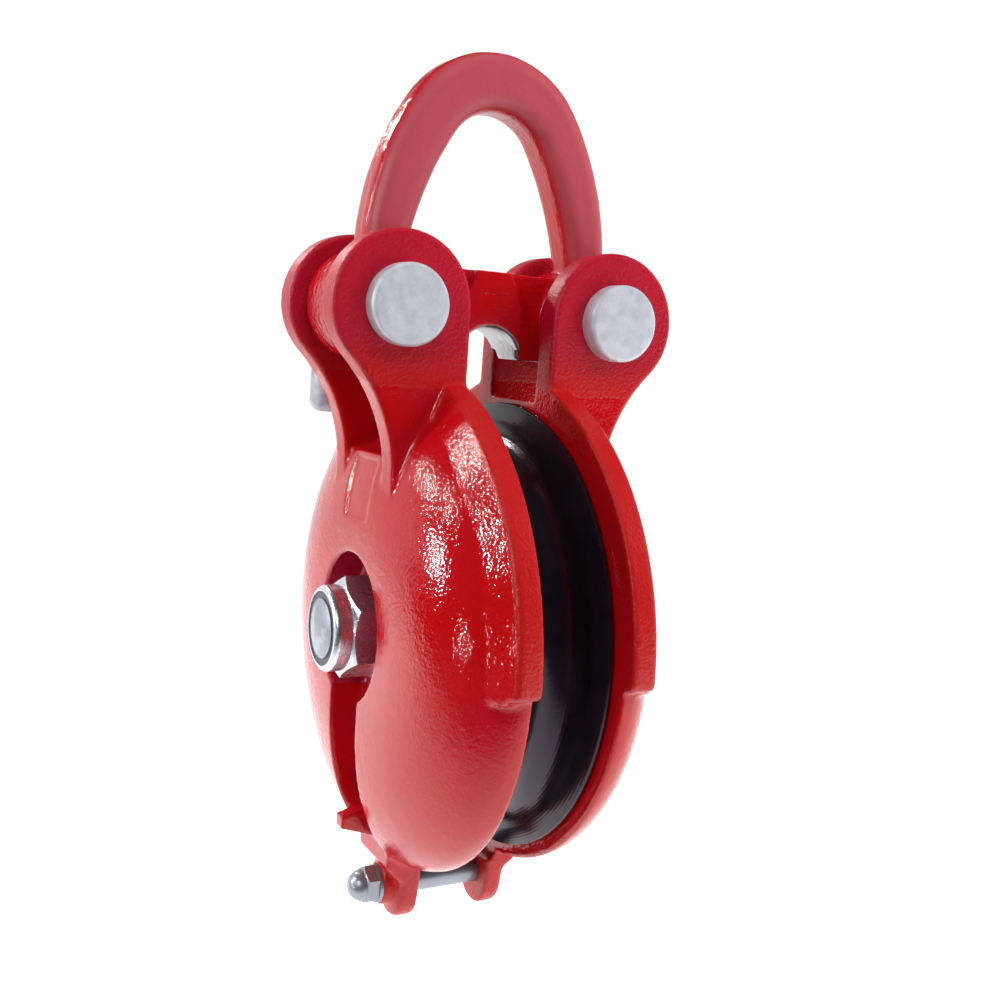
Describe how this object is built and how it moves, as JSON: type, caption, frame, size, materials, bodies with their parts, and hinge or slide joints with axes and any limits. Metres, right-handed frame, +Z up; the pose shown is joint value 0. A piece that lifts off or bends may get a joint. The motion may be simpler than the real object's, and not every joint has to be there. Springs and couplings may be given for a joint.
{
  "type": "snatch block",
  "caption": "Heavy rope snatch block: domed cast cheeks around a grooved sheave, pinned by clevises with drop-nose pins to a forged bail.",
  "frame": {"origin": "centre of the sheave, on the axle's axis midway between the cheeks", "axes": "+X along the axle towards the bolt head's cheek, +Y from the pin heads towards the drop noses, +Z up through the bail's crown"},
  "size_m": [0.167, 0.2366, 0.402],
  "materials": {
    "red_paint": "glossy red enamel over a cast and forged surface",
    "black_sheave": "near-black satin on a machined casting",
    "bronze_bearing": "plain machined bearing bronze",
    "plain_steel": "ground steel",
    "zinc_plate": "bright zinc plating",
    "nylon_insert": "dark moulded locking ring"
  },
  "bodies": {
    "frame": {"near_cheek": "red_paint", "far_cheek": "red_paint", "bail": "red_paint", "axle_bolt": "zinc_plate", "axle_nut": "zinc_plate", "axle_nut_insert": "nylon_insert", "axle_sleeve": "plain_steel", "tie_bolt": "zinc_plate", "tie_nut": "zinc_plate", "tie_spacer": "zinc_plate", "near_tie_washer": "zinc_plate", "near_thrust_washer": "bronze_bearing", "far_thrust_washer": "bronze_bearing", "near_axle_washer": "zinc_plate", "far_axle_washer": "zinc_plate"},
    "sheave": {"sheave": "black_sheave", "sheave_bush": "bronze_bearing"},
    "near_pin": {"near_pin": "zinc_plate"},
    "far_pin": {"far_pin": "zinc_plate"},
    "near_nose": {"near_nose": "zinc_plate", "near_nose_rivet": "plain_steel"},
    "far_nose": {"far_nose": "zinc_plate", "far_nose_rivet": "plain_steel"}
  },
  "joints": [
    {"name": "sheave_spin", "type": "hinge", "parent": "frame", "child": "sheave", "pos_m": [0, 0, 0], "axis": [1, 0, 0], "continuous": true},
    {"name": "near_pin_turn", "type": "hinge", "parent": "frame", "child": "near_pin", "pos_m": [-0.052, 0, 0.145], "axis": [0, 1, 0], "range_deg": [-3, 302]},
    {"name": "far_pin_turn", "type": "hinge", "parent": "frame", "child": "far_pin", "pos_m": [0.052, 0, 0.145], "axis": [0, -1, 0], "range_deg": [-3, 302]},
    {"name": "near_nose_flip", "type": "hinge", "parent": "near_pin", "child": "near_nose", "pos_m": [-0.052, 0.0462, 0.145], "axis": [1, 0, 0], "range_deg": [0, 90]},
    {"name": "far_nose_flip", "type": "hinge", "parent": "far_pin", "child": "far_nose", "pos_m": [0.052, 0.0462, 0.145], "axis": [1, 0, 0], "range_deg": [0, 90]}
  ]
}
